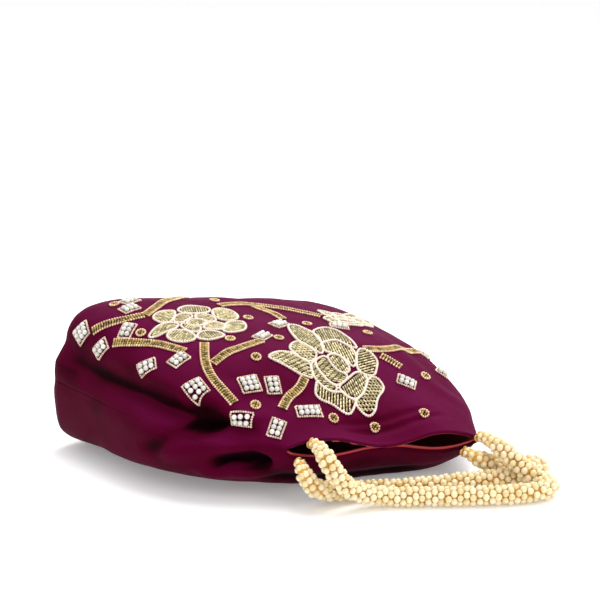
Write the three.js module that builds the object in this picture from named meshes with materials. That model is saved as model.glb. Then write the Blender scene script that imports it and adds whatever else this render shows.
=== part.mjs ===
// A velvet potli bag lying on its back: two sewn panels, a satin lining, two pearl-rope handles
// and raised bead embroidery on the front panel. Millimetres, +Z up, the mouth towards -Y.
import * as THREE from 'three';

// Bag body
const BAG_LENGTH = 174;
const BAG_WIDTH = 205;
const BAG_HEIGHT = 80;
const BASE_ROUNDING = 10.5;
const BASE_SQUARENESS = 4;
const SEAM_FOLD_WIDTH = 9;
const SHOULDER_RISE = 14;
const RESTING_LEVEL = 0.4;

// Mouth
const MOUTH_AT = -81;
const MOUTH_TOP = 37;
const MOUTH_SEAM = 28;
const MOUTH_BOTTOM = 20;
const MOUTH_SKEW = 16;
const MOUTH_ROLL = 0.075;

// Cloth
const PANEL_THICKNESS = 1.5;
const LINING_THICKNESS = 0.8;
const CLEARANCE = 0.3;

// Handles: each knot's place along the mouth edge from the middle of its panel, and the way its rope leaves
const ROPE_DIAMETER = 10.5;
const ROPE_SIDES = 10;
const ROPE_STEPS = 56;
const ROPE_LEAD = 5;
const KNOT_RADIUS = 1.8;
const KNOT_THREAD = 0.7;
const KNOT_SETBACK = 1.1;
const KNOT_TO_ROPE = 0.5;
const FRONT_KNOTS = {
  left: { across: -46, leaves: [0.05, -1, -0.3] },
  right: { across: 55, leaves: [0.25, -1, -0.1] },
};
const BACK_KNOTS = {
  left: { across: -52, leaves: [-0.3, -1, -0.75] },
  right: { across: 46, leaves: [0.4, -1, -0.4] },
};

// Embroidery, and the size of bag that its places and the knots' places are drawn for
const PATTERN_WIDTH = 205;
const PATTERN_LENGTH = 174;
const BEAD_STANDOFF = 0.5;
const STEM_HEIGHT = 1.8;
const STEM_WIDTH = 4;
const FLOWER_HEIGHT = 2;
const CLUSTER_RADIUS = 4.6;
const CLUSTER_HEIGHT = 2.8;
const ROSETTE_RADIUS = 2.6;
const ROSETTE_HEIGHT = 1.6;

// How the body's section changes from the base (0) to the mouth (1)
const LEFT_REACH = [[0, 0.52], [0.3, 0.505], [0.6, 0.492], [0.8, 0.42], [1, 0.254]];
const RIGHT_REACH = [[0, 0.464], [0.3, 0.483], [0.6, 0.46], [0.8, 0.43], [1, 0.302]];
const CREST = [[0, 0.925], [0.2, 1], [0.45, 0.95], [0.65, 0.89], [0.85, 0.65], [1, MOUTH_TOP / BAG_HEIGHT]];
const SEAM = [[0, 0.55], [0.5, 0.5], [0.8, 0.39], [1, MOUTH_SEAM / BAG_HEIGHT]];
const BELLY = [[0, 0], [0.75, 0], [0.9, 2], [0.96, 8], [1, MOUTH_BOTTOM]];
const FRONT_FULLNESS = [[0, 4.5], [0.5, 2.8], [1, 2]];
const BACK_FULLNESS = [[0, 6], [0.5, 4], [1, 2]];
const CREST_LEAN = [[0, 0.22], [0.5, 0.1], [1, 0]];
const SEAM_FOLD = [[0, 2], [0.3, 6], [0.7, 10], [1, 2]];
const SHOULDER_INSET = [[0, 8], [0.5, 6], [1, 0]];

// Grid of the panels: rings over the rounded base, then along the body, and steps across a panel
const BASE_RINGS = [0.08, 0.42, 0.72, 0.88, 0.96];
const BODY_RINGS = [0, 0.06, 0.14, 0.22, 0.31, 0.4, 0.49, 0.58, 0.67, 0.76, 0.84, 0.9, 0.94, 0.975, 1];
const PANEL_STEPS = 20;
const ARC_SAMPLES = 240;

// Pearl ropes: each route after the knot it leaves, up to the knot it goes back to
const FRONT_ROPE_ROUTE = [
  [-39, -86, 30], [-35, -90, 21], [-28, -92, 13], [-19, -95, 8.5], [-8, -100, 6], [4, -108, 5.7],
  [18, -118, 5.7], [34, -129, 5.7], [50, -138, 5.7], [62, -142.5, 5.7], [70.5, -142.5, 5.7],
  [75.5, -138, 5.7], [73.5, -132.5, 6.5], [69, -129.5, 10.5], [65.5, -125, 15], [63, -119.5, 19.5],
  [61, -113.5, 22.5],
];
const BACK_ROPE_ROUTE = [
  [-43, -79.5, 13.5], [-32, -79.5, 8.5], [-22, -80, 6], [-13, -83, 5.7], [-2, -89, 5.7],
  [10, -96.5, 5.7], [20.5, -101, 5.7], [31, -105, 5.7], [42, -109.5, 5.7], [52, -113.5, 5.7],
  [62, -117, 5.7], [72, -120, 5.7], [81, -121.5, 5.7], [88, -119.5, 5.7], [90.5, -114, 5.7],
  [86.5, -108.5, 5.7], [78, -106.5, 5.7], [69, -106, 8],
];

// Embroidery on the front panel: [across from the panel's middle, back from the mouth edge]
const FLOWERS = {
  front_flower: { at: [6, 45], across: 24, back: 26 },
  back_flower: { at: [-37, 104], across: 23, back: 19 },
  crest_flower: { at: [62, 97], across: 13, back: 12 },
};
const STEMS = {
  left_stem: [[-85, 123], [-79, 112], [-72, 101], [-65, 87]],
  front_stem: [[-50, 77], [-58, 66], [-65, 50], [-66, 36]],
  front_stem_branch: [[-53, 62], [-39, 65], [-22, 72]],
  base_left_stem: [[-80, 145], [-72, 136], [-61, 127]],
  base_stem: [[-53, 127], [-40, 133], [-28, 139], [-9, 149]],
  crest_vine: [[-6, 127], [10, 130], [26, 131], [37, 124], [42, 111]],
  crest_vine_branch: [[18, 124], [18, 112], [17, 100]],
  mouth_stem: [[-23, 37], [-36, 29], [-46, 21]],
  right_stem: [[36, 54], [48, 55], [62, 57], [80, 60]],
  right_stem_branch: [[44, 49], [46, 41]],
};
const PEARL_CLUSTERS = [
  [-87, 152], [-91, 132], [-51, 150], [-59, 139], [-74, 121], [-83, 89], [-68, 76], [-75, 52],
  [-14, 76], [8, 91], [-50, 41], [-39, 37], [-68, 27], [-55, 13], [-32, 18], [45, 84],
  [40, 31], [89, 62], [84, 46],
];
const GOLD_ROSETTES = [
  [-60, 152], [-70, 113], [-1, 138], [-4, 104], [-33, 79], [-6, 72], [-33, 56], [-56, 29],
  [26, 89], [57, 74], [58, 36], [34, 12], [1, 9], [-21, 13],
];

// Colours and finishes
const VELVET = { color: 0x5a0f35, roughness: 0.75, metalness: 0 };
const SATIN = { color: 0x9c1020, roughness: 0.4, metalness: 0 };
const PEARL = { color: 0xf1e6cc, roughness: 0.3, metalness: 0 };
const GOLD_THREAD = { color: 0xd9a02a, roughness: 0.5, metalness: 0.2 };
const GOLD_BEADS = { color: 0xa88447, roughness: 0.35, metalness: 0.6 };

// Value of a curve of [share, value] points: a cubic that keeps each stretch between its ends
function along(curve, share) {
  const last = curve.length - 1;
  let i = 0;
  while (i < last - 1 && share > curve[i + 1][0]) i += 1;
  const rise = (k) => (curve[k + 1][1] - curve[k][1]) / (curve[k + 1][0] - curve[k][0]);
  const slope = (k) => {
    if (k === 0) return rise(0);
    if (k === last) return rise(last - 1);
    const before = rise(k - 1);
    const after = rise(k);
    return before * after <= 0 ? 0 : (2 * before * after) / (before + after);
  };
  const width = curve[i + 1][0] - curve[i][0];
  const t = (share - curve[i][0]) / width;
  const from = curve[i][1] * (1 + 2 * t) + slope(i) * width * t;
  const to = curve[i + 1][1] * (3 - 2 * t) - slope(i + 1) * width * (1 - t);
  return from * (1 - t) ** 2 + to * t ** 2;
}

const smooth = (low, high, x) => {
  const t = Math.min(Math.max((x - low) / (high - low), 0), 1);
  return t * t * (3 - 2 * t);
};

const signedPower = (x, power) => Math.sign(x) * Math.abs(x) ** power;

// One point of the body's section: a superellipse whose two sides fold in along the side seams,
// flat where it lies on the table
function sectionPoint(share, angle, fill) {
  const cosine = Math.cos(angle);
  const sine = Math.sin(angle);
  const front = sine >= 0;
  const reach = BAG_WIDTH * along(cosine >= 0 ? RIGHT_REACH : LEFT_REACH, share);
  const power = 2 / along(front ? FRONT_FULLNESS : BACK_FULLNESS, share);
  const crest = BAG_HEIGHT * along(CREST, share);
  const seam = BAG_HEIGHT * along(SEAM, share);
  const belly = along(BELLY, share);
  const flat = reach * signedPower(cosine, power);
  const lean = along(CREST_LEAN, share) * crest * (flat / 100);
  const height = (front ? crest - seam - lean : seam - belly) * signedPower(sine, power);
  const fold = along(SEAM_FOLD, share) * Math.exp(-((height / SEAM_FOLD_WIDTH) ** 2)) * Math.abs(cosine);
  const inset = along(SHOULDER_INSET, share) * smooth(0, SHOULDER_RISE, height) * Math.abs(flat / reach);
  const x = (flat - Math.sign(cosine) * (fold + inset)) * fill;
  const turned = -Math.tan(THREE.MathUtils.degToRad(MOUTH_SKEW)) * x * share ** 2;
  const y = MOUTH_AT + BAG_LENGTH * (1 - share) + turned;
  const z = seam + height * fill - MOUTH_ROLL * x * share ** 3;
  return new THREE.Vector3(x, y, Math.max(z, RESTING_LEVEL));
}

// Half a section as points spaced evenly by distance: the front from the left seam to the right one,
// or the back from the right seam to the left one
function halfSection(share, fill, front, steps) {
  const start = front ? Math.PI : 2 * Math.PI;
  const points = [];
  const lengths = [0];
  for (let i = 0; i <= ARC_SAMPLES; i += 1) {
    points.push(sectionPoint(share, start - (Math.PI * i) / ARC_SAMPLES, fill));
    if (i > 0) lengths.push(lengths[i - 1] + points[i].distanceTo(points[i - 1]));
  }
  const at = (distance) => {
    let i = 1;
    while (i < ARC_SAMPLES && lengths[i] < distance) i += 1;
    const step = lengths[i] - lengths[i - 1];
    return points[i - 1].clone().lerp(points[i], (distance - lengths[i - 1]) / step);
  };
  const total = lengths[ARC_SAMPLES];
  const row = [];
  for (let j = 0; j <= steps; j += 1) row.push(at((total * j) / steps));
  return { row, at, total };
}

// Whole rings from the base to the mouth, with the outward direction at each point
const capShare = (fill) => {
  const depth = BASE_ROUNDING / BAG_LENGTH;
  return depth * (1 - (1 - fill ** BASE_SQUARENESS) ** (1 / BASE_SQUARENESS));
};
const bodyShare = (t) => {
  const start = BASE_ROUNDING / BAG_LENGTH;
  return start + (1 - start) * t;
};
const RINGS = [
  ...BASE_RINGS.map((fill) => ({ share: capShare(fill), fill })),
  ...BODY_RINGS.map((t) => ({ share: bodyShare(t), fill: 1 })),
];
const bodyRings = RINGS.map(({ share, fill }) => {
  const front = halfSection(share, fill, true, PANEL_STEPS).row;
  const back = halfSection(share, fill, false, PANEL_STEPS).row;
  return [...front.slice(0, -1), ...back.slice(0, -1)];
});
const RING_POINTS = 2 * PANEL_STEPS;
const bodyNormals = bodyRings.map((ring, i) => ring.map((point, j) => {
  const around = ring[(j + 1) % RING_POINTS].clone().sub(ring[(j + RING_POINTS - 1) % RING_POINTS]);
  const ahead = bodyRings[Math.min(i + 1, bodyRings.length - 1)][j];
  const behind = bodyRings[Math.max(i - 1, 0)][j];
  return ahead.clone().sub(behind).cross(around).normalize();
}));

// A ring's point moved inwards through the cloth
const inwards = (i, j, depth) => bodyRings[i][j].clone().addScaledVector(bodyNormals[i][j], -depth);

// A closed solid between two like grids of points, whose rows may close on themselves and whose first row
// may be filled in or left as an edge
function slab(outer, inner, { closedRows, filledStart }) {
  const rows = outer.length;
  const columns = outer[0].length;
  const steps = closedRows ? columns : columns - 1;
  const faces = [];
  const quad = (a, b, c, d) => faces.push(a, b, c, a, c, d);
  for (let i = 0; i < rows - 1; i += 1) {
    for (let j = 0; j < steps; j += 1) {
      const k = (j + 1) % columns;
      quad(outer[i][j], outer[i + 1][j], outer[i + 1][k], outer[i][k]);
      quad(inner[i][j], inner[i][k], inner[i + 1][k], inner[i + 1][j]);
    }
  }
  const top = rows - 1;
  const end = columns - 1;
  for (let j = 0; j < steps; j += 1) {
    const k = (j + 1) % columns;
    quad(outer[top][j], inner[top][j], inner[top][k], outer[top][k]);
    if (!filledStart) quad(outer[0][k], inner[0][k], inner[0][j], outer[0][j]);
  }
  if (filledStart) {
    for (let j = 1; j < end; j += 1) {
      faces.push(outer[0][0], outer[0][j], outer[0][j + 1]);
      faces.push(inner[0][0], inner[0][j + 1], inner[0][j]);
    }
  }
  if (filledStart && !closedRows) quad(outer[0][end], inner[0][end], inner[0][0], outer[0][0]);
  if (!closedRows) {
    for (let i = 0; i < top; i += 1) {
      quad(outer[i][0], inner[i][0], inner[i + 1][0], outer[i + 1][0]);
      quad(outer[i][end], outer[i + 1][end], inner[i + 1][end], inner[i][end]);
    }
  }
  return new THREE.BufferGeometry().setFromPoints(faces);
}

// Front or back panel: one half of every ring, drawn back from the seam by half a clearance
function panelGeometry(front) {
  const first = front ? 0 : PANEL_STEPS;
  const gridAt = (depth) => bodyRings.map((ring, i) => {
    const row = [];
    for (let j = 0; j <= PANEL_STEPS; j += 1) {
      const k = (first + j) % RING_POINTS;
      row.push(inwards(i, k, depth));
    }
    for (const edge of [0, PANEL_STEPS]) {
      const level = ring[(first + edge) % RING_POINTS].z;
      row[edge].z = level + (front ? 0.5 : -0.5) * CLEARANCE;
    }
    return row;
  });
  return slab(gridAt(0), gridAt(PANEL_THICKNESS), { closedRows: false, filledStart: true });
}

// Lining: a bag inside the two panels, its edge level with the mouth
function liningGeometry() {
  const gridAt = (depth) => bodyRings.map((ring, i) => ring.map((point, j) => inwards(i, j, depth)));
  const outside = PANEL_THICKNESS + CLEARANCE;
  const inside = outside + LINING_THICKNESS;
  return slab(gridAt(outside), gridAt(inside), { closedRows: true, filledStart: true });
}

// A point above the front panel, from its place on the cloth
function clothPoint(across, back, height) {
  const surface = (a, b) => {
    const half = halfSection(1 - b / PATTERN_LENGTH, 1, true, 1);
    return half.at(half.total / 2 + a * (BAG_WIDTH / PATTERN_WIDTH));
  };
  const step = 1;
  const base = surface(across, back);
  const right = surface(across + step, back).sub(surface(across - step, back));
  const away = surface(across, back + step).sub(surface(across, back - step));
  return base.addScaledVector(right.cross(away).normalize(), height);
}

// Raised pad with a round outline, on the cloth
function padGeometry([across, back], acrossRadius, backRadius, height, rings, sides) {
  const gridAt = (level) => {
    const rows = [];
    for (let i = 1; i <= rings; i += 1) {
      const row = [];
      for (let j = 0; j < sides; j += 1) {
        const angle = (2 * Math.PI * j) / sides;
        const share = i / rings;
        const a = across + acrossRadius * share * Math.cos(angle);
        const b = back + backRadius * share * Math.sin(angle);
        row.push(clothPoint(a, b, level));
      }
      rows.push(row);
    }
    return rows;
  };
  const top = gridAt(BEAD_STANDOFF + height);
  const bottom = gridAt(BEAD_STANDOFF);
  return slab(top, bottom, { closedRows: true, filledStart: true });
}

// Raised strip that follows a stem, on the cloth
function stemGeometry(points) {
  const curve = new THREE.CatmullRomCurve3(points.map(([a, b]) => new THREE.Vector3(a, b, 0)));
  const steps = Math.ceil(curve.getLength() / 6);
  const gridAt = (level) => curve.getSpacedPoints(steps).map((place, i) => {
    const ahead = curve.getTangentAt(i / steps);
    const half = STEM_WIDTH / 2;
    return [1, 0, -1].map((side) => {
      const a = place.x + side * half * ahead.y;
      const b = place.y - side * half * ahead.x;
      return clothPoint(a, b, level);
    });
  });
  const top = gridAt(BEAD_STANDOFF + STEM_HEIGHT);
  return slab(top, gridAt(BEAD_STANDOFF), { closedRows: false, filledStart: false });
}

// Knots of thread that hold the handles to the mouth edge, each facing the way its rope leaves
const KNOT_HALF_DEPTH = KNOT_RADIUS / 2 + KNOT_THREAD;
function knotPlace(front, { across, leaves }) {
  const half = halfSection(1, 1, front, 1);
  const aside = across * (BAG_WIDTH / PATTERN_WIDTH);
  const edge = half.at(half.total / 2 + (front ? aside : -aside));
  const way = new THREE.Vector3(...leaves).normalize();
  return { centre: edge.addScaledVector(way, KNOT_SETBACK + KNOT_HALF_DEPTH), way };
}
function knotGeometry(way) {
  const turn = new THREE.Quaternion().setFromUnitVectors(new THREE.Vector3(0, 0, 1), way);
  return new THREE.TorusKnotGeometry(KNOT_RADIUS, KNOT_THREAD, 36, 6).applyQuaternion(turn);
}

// Pearl rope: a tube from one knot to the other
function ropeGeometry(start, route, end) {
  const near = KNOT_HALF_DEPTH + KNOT_TO_ROPE;
  const beside = (knot, distance) => knot.centre.clone().addScaledVector(knot.way, distance);
  const points = [
    beside(start, near), beside(start, near + ROPE_LEAD),
    ...route.map((p) => new THREE.Vector3(...p)),
    beside(end, near + ROPE_LEAD), beside(end, near),
  ];
  const path = new THREE.CatmullRomCurve3(points, false, 'centripetal');
  const circle = new THREE.Shape();
  for (let i = 0; i < ROPE_SIDES; i += 1) {
    const angle = (2 * Math.PI * i) / ROPE_SIDES;
    const x = (ROPE_DIAMETER / 2) * Math.cos(angle);
    const y = (ROPE_DIAMETER / 2) * Math.sin(angle);
    if (i === 0) circle.moveTo(x, y);
    else circle.lineTo(x, y);
  }
  circle.closePath();
  return new THREE.ExtrudeGeometry(circle, { steps: ROPE_STEPS, extrudePath: path, curveSegments: 1 });
}

function piece(name, geometry, finish) {
  const mesh = new THREE.Mesh(geometry, new THREE.MeshStandardMaterial(finish));
  mesh.name = name;
  return mesh;
}

const numbered = (name, i) => `${name}_${String(i + 1).padStart(2, '0')}`;

function bagBody() {
  const body = new THREE.Group();
  body.add(piece('front_panel', panelGeometry(true), VELVET));
  body.add(piece('back_panel', panelGeometry(false), VELVET));
  body.add(piece('lining', liningGeometry(), SATIN));
  return body;
}

function embroidery() {
  const beads = new THREE.Group();
  for (const [name, { at, across, back }] of Object.entries(FLOWERS)) {
    beads.add(piece(name, padGeometry(at, across, back, FLOWER_HEIGHT, 3, 16), GOLD_BEADS));
  }
  for (const [name, points] of Object.entries(STEMS)) {
    beads.add(piece(name, stemGeometry(points), GOLD_BEADS));
  }
  PEARL_CLUSTERS.forEach((at, i) => {
    const pad = padGeometry(at, CLUSTER_RADIUS, CLUSTER_RADIUS, CLUSTER_HEIGHT, 2, 8);
    beads.add(piece(numbered('pearl_cluster', i), pad, PEARL));
  });
  GOLD_ROSETTES.forEach((at, i) => {
    const pad = padGeometry(at, ROSETTE_RADIUS, ROSETTE_RADIUS, ROSETTE_HEIGHT, 1, 6);
    beads.add(piece(numbered('gold_rosette', i), pad, GOLD_BEADS));
  });
  return beads;
}

function handles() {
  const group = new THREE.Group();
  const knots = new THREE.Group();
  const sides = [
    ['front', true, FRONT_KNOTS, FRONT_ROPE_ROUTE],
    ['back', false, BACK_KNOTS, BACK_ROPE_ROUTE],
  ];
  for (const [side, front, held, route] of sides) {
    const places = { left: knotPlace(front, held.left), right: knotPlace(front, held.right) };
    for (const [end, { centre, way }] of Object.entries(places)) {
      const knot = piece(`${side}_${end}_knot`, knotGeometry(way), GOLD_THREAD);
      knot.position.copy(centre);
      knots.add(knot);
    }
    group.add(piece(`${side}_handle_rope`, ropeGeometry(places.left, route, places.right), PEARL));
  }
  return { ropes: group, knots };
}

// The origin is under the middle of the bag, without its free ropes
const { ropes, knots } = handles();
const bag = new THREE.Group();
bag.add(bagBody(), embroidery(), knots);
const box = new THREE.Box3().setFromObject(bag, true);
const middle = box.getCenter(new THREE.Vector3());
bag.add(ropes);
bag.position.set(-middle.x, -middle.y, -box.min.z);

export default bag;
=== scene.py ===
"""A plum velvet potli bag lying full on its back, with bead embroidery and two pearl-rope handles.

The drawing is in millimetres, mouth towards -Y. metres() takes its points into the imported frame.
"""
import math

import bpy
import numpy as np
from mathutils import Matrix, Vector


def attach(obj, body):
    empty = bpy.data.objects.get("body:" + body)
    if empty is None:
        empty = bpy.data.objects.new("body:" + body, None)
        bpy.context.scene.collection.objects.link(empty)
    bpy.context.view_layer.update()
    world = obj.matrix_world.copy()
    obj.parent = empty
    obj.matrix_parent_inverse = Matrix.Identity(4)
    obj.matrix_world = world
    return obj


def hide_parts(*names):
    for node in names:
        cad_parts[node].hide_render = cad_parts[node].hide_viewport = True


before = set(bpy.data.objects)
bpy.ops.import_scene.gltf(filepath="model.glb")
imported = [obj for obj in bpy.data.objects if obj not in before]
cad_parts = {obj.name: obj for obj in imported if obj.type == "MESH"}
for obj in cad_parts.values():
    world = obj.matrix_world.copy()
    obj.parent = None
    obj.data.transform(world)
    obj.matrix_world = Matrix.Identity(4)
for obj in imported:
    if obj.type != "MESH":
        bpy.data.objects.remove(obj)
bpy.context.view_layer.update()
CHANCE = np.random.default_rng(7)

# Where the drawing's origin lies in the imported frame
DRAWING_SHIFT = np.array([3.804, 4.492, -0.4])

# Camera, fitted to the bag's outline in the photo
CAMERA_AZIMUTH = -37
CAMERA_ELEVATION = 19
CAMERA_DISTANCE = 900
CAMERA_TARGET = np.array([0, 0, 30])
CAMERA_LENS = 92.3
CAMERA_SHIFT = (0.02, 0.1722)

# Bag body, as in the CAD part
BAG_LENGTH = 174
BAG_WIDTH = 205
BAG_HEIGHT = 80
BASE_ROUNDING = 10.5
BASE_SQUARENESS = 4
SEAM_FOLD_WIDTH = 9
SHOULDER_RISE = 14
RESTING_LEVEL = 0.4
MOUTH_AT = -81
MOUTH_TOP = 37
MOUTH_SEAM = 28
MOUTH_BOTTOM = 20
MOUTH_SKEW = 16
MOUTH_ROLL = 0.075
LEFT_REACH = [(0, 0.52), (0.3, 0.505), (0.6, 0.492), (0.8, 0.42), (1, 0.254)]
RIGHT_REACH = [(0, 0.464), (0.3, 0.483), (0.6, 0.46), (0.8, 0.43), (1, 0.302)]
CREST = [(0, 0.925), (0.2, 1), (0.45, 0.95), (0.65, 0.89), (0.85, 0.65), (1, MOUTH_TOP / BAG_HEIGHT)]
SEAM = [(0, 0.55), (0.5, 0.5), (0.8, 0.39), (1, MOUTH_SEAM / BAG_HEIGHT)]
BELLY = [(0, 0), (0.75, 0), (0.9, 2), (0.96, 8), (1, MOUTH_BOTTOM)]
FRONT_FULLNESS = [(0, 4.5), (0.5, 2.8), (1, 2)]
BACK_FULLNESS = [(0, 6), (0.5, 4), (1, 2)]
CREST_LEAN = [(0, 0.22), (0.5, 0.1), (1, 0)]
SEAM_FOLD = [(0, 0.5), (0.3, 3), (0.7, 10), (1, 2)]
SHOULDER_INSET = [(0, 8), (0.5, 6), (1, 0)]
VELVET_THICKNESS = 1.5
LINING_GAP = 0.3
LINING_THICKNESS = 0.8

# How far the lining's edge shows past each lip
FRONT_EDGE = -1.2
BACK_EDGE = 1.3

# Panel grids
BASE_ROWS = 16
BODY_ROWS = 150
COLUMNS = 181
ROW_SAMPLES = 700

# The lips sag together in the middle of the mouth
FRONT_LIP_SAG = 9.0
BACK_LIP_RISE = 6.0
LIP_START = 0.84
LIP_SPREAD = 0.2
LIP_CURVE = 1.5

# The seams hold the cloth within this distance, where folds keep a part of their height
SEAM_HOLD = 5
FOLD_AT_SEAM = 0.25

# Unevenness of the cloth and of the velvet's colour: wave size, height and seed
LARGE_RIPPLE = (34, 0.9, 3)
SMALL_RIPPLE = (13, 0.3, 5)
NAP_RIPPLE = (22, 0.2, 9)

# Painted light and shade of the velvet: level on a side, painted light where it faces up, painted shade per
# mm of fold depth
PAINTED_SIDE_LEVEL = 0.42
PAINTED_TOP_LIGHT = 0.5
PAINTED_LIGHT_FACING = (0.2, 0.95)
PAINTED_FOLD_SHADE = 0.09

# The left side's ridge and the fold over it lie above its seam
LEFT_RIDGE = 10
LEFT_FOLD_RISE = 10

# Folds of the left side: a path in space, a width, and how far the cloth sinks to the bag's middle line
MIDDLE_LINE_HEIGHT = 34
SIDE_FOLDS = [
    ([(-100, 100, 57), (-98, 60, 53), (-95, 24, 51), (-91, -3, 49), (-83, -24, 47), (-66, -46, 45)], 6, 4.2),
    ([(-100, 4, 24), (-93, -9, 30), (-86, -18, 35), (-80, -29, 40), (-70, -42, 44)], 4.2, 9.0),
    ([(-98, -8, 22), (-88, -22, 28), (-76, -37, 31), (-63, -52, 32)], 4.5, -3.0),
    ([(-82, -34, 19), (-72, -44, 24), (-64, -52, 26), (-54, -60, 22)], 4.2, 9.0),
    ([(-86, -14, 53), (-75, -30, 50), (-67, -46, 42), (-57, -57, 36)], 6.0, 4.0),
]

# Folds of one panel: a path as (distance from the left seam, back from the mouth), a width and a height
FRONT_FOLDS = [
    ([(24, 62), (22, 40), (20, 18)], 7.0, 2.2),
    ([(40, 6), (80, 7.5), (124, 12)], 1.2, -1.5),
    ([(40, 9.5), (80, 11), (124, 15.5)], 1.2, -1.2),
    ([(150, 25), (172, 46), (190, 70)], 6.0, -1.6),
    ([(140, 20), (160, 40), (176, 62)], 5.0, 1.2),
    ([(40, 20), (60, 26), (84, 22)], 8.0, -1.2),
    ([(60, 75), (48, 55), (44, 38)], 9.0, -1.6),
]
BACK_FOLDS = [
    ([(26, 44), (20, 26), (24, 8)], 6.0, 2.0),
    ([(30, 130), (26, 90), (28, 60)], 9.0, 0.9),
    ([(10, 12), (70, 15), (130, 12)], 6.0, -4.0),
]
FOLD_END = 0.25

# Handles: knots' places and the routes of the ropes, as in the CAD part
PEARL_DIAMETER = 4.0
PEARLS_AROUND = 6
RING_PITCH = 0.86 * PEARL_DIAMETER
ROPE_DIAMETER = 11.7
ROPE_LIFT = 0.6
ROPE_CORE_RADIUS = 3.0
CORE_SIDES = 8
CORE_STEP = 2.0
KNOT_HALF_DEPTH = 1.6
KNOT_TO_ROPE = 0.5
ROPE_LEAD = 5
FRONT_KNOTS = [((-38.68, -72.45, 35.93), (0.05, -1, -0.3)), ((57.75, -99.98, 26.26), (0.25, -1, -0.1))]
BACK_KNOTS = [((-45.53, -70.23, 26.17), (-0.3, -1, -0.75)), ((49.46, -97.26, 18.66), (0.4, -1, -0.4))]
FRONT_ROPE_ROUTE = [
    (-39, -86, 30), (-35, -90, 21), (-28, -92, 13), (-19, -95, 8.5), (-8, -100, 6), (4, -108, 5.7),
    (18, -118, 5.7), (34, -129, 5.7), (50, -138, 5.7), (62, -142.5, 5.7), (70.5, -142.5, 5.7),
    (75.5, -138, 5.7), (73.5, -132.5, 6.5), (69, -129.5, 10.5), (65.5, -125, 15), (63, -119.5, 19.5),
    (61, -113.5, 22.5),
]
BACK_ROPE_ROUTE = [
    (-43, -79.5, 13.5), (-32, -79.5, 8.5), (-22, -80, 6), (-13, -83, 5.7), (-2, -89, 5.7),
    (10, -96.5, 5.7), (20.5, -101, 5.7), (31, -105, 5.7), (42, -109.5, 5.7), (52, -113.5, 5.7),
    (62, -117, 5.7), (72, -120, 5.7), (81, -121.5, 5.7), (88, -119.5, 5.7), (90.5, -114, 5.7),
    (86.5, -108.5, 5.7), (78, -106.5, 5.7), (69, -106, 8),
]

# Flower: outline of each petal about the flower's middle (across, back), and the way its filling runs
FLOWER_PETALS = {
    "upper_leaf": ([(-2, 5), (-3, 10), (-4, 15), (-4, 22), (0, 33), (6, 44), (11, 42), (12, 38), (13, 31),
                    (10, 21), (6, 13)], 75),
    "side": ([(-4, 6), (-4, 12), (-4, 19), (-6, 20), (-12, 17), (-17, 12), (-17, 5), (-13, 1)], 130),
    "lower_leaf": ([(-14, 1), (-16, 3), (-17, 7), (-18, 9), (-22, 11), (-28, 11), (-34, 9), (-31, 4),
                    (-29, 0), (-27, -5), (-24, -7), (-21, -9)], 150),
    "crown": ([(6, 14), (13, 31), (21, 35), (28, 36), (31, 30), (29, 20), (26, 12), (24, 8), (20, 12),
               (19, 18), (9, 16)], 60),
    "crown_inner": ([(2, 7), (3, 11), (6, 15), (9, 16), (19, 18), (20, 12), (21, 7), (16, 1), (10, -4),
                     (8, -3), (9, 1), (7, 5)], 60),
    "bud": ([(0, 5), (7, 5), (8, 0), (5, -6), (0, -8), (-3, -6), (-3, -2)], 70),
    "cheek_inner": ([(0, 5), (-9, 3), (-13, -2), (-14, -7), (-14, -12), (-11, -15), (-1, -11), (0, -8),
                     (-3, -6), (-3, -2)], 160),
    "cheek": ([(-9, 3), (-16, -1), (-20, -7), (-20, -12), (-18, -16), (-15, -18), (-11, -15), (-14, -12),
               (-14, -7), (-13, -2)], 160),
    "right": ([(24, 8), (29, 8), (30, 4), (28, -1), (22, -6), (17, -10), (12, -10), (10, -7), (11, -4),
               (16, 1)], 10),
    "chin": ([(-1, -11), (5, -8), (10, -7), (12, -10), (6, -16), (0, -21), (-7, -24), (-10, -22), (-11, -18),
              (-11, -15)], 250),
    "right_lower": ([(12, -11), (17, -11), (17, -15), (15, -19), (6, -24), (0, -30), (-5, -32), (-8, -31),
                     (-9, -27), (-7, -24), (0, -21), (6, -16)], 310),
    "skirt": ([(-20, -10), (-24, -14), (-27, -18), (-26, -22), (-22, -25), (-20, -29), (-17, -31),
               (-13, -29), (-9, -26), (-7, -24), (-10, -22), (-11, -18), (-15, -18), (-18, -16),
               (-20, -12)], 230),
}
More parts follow.
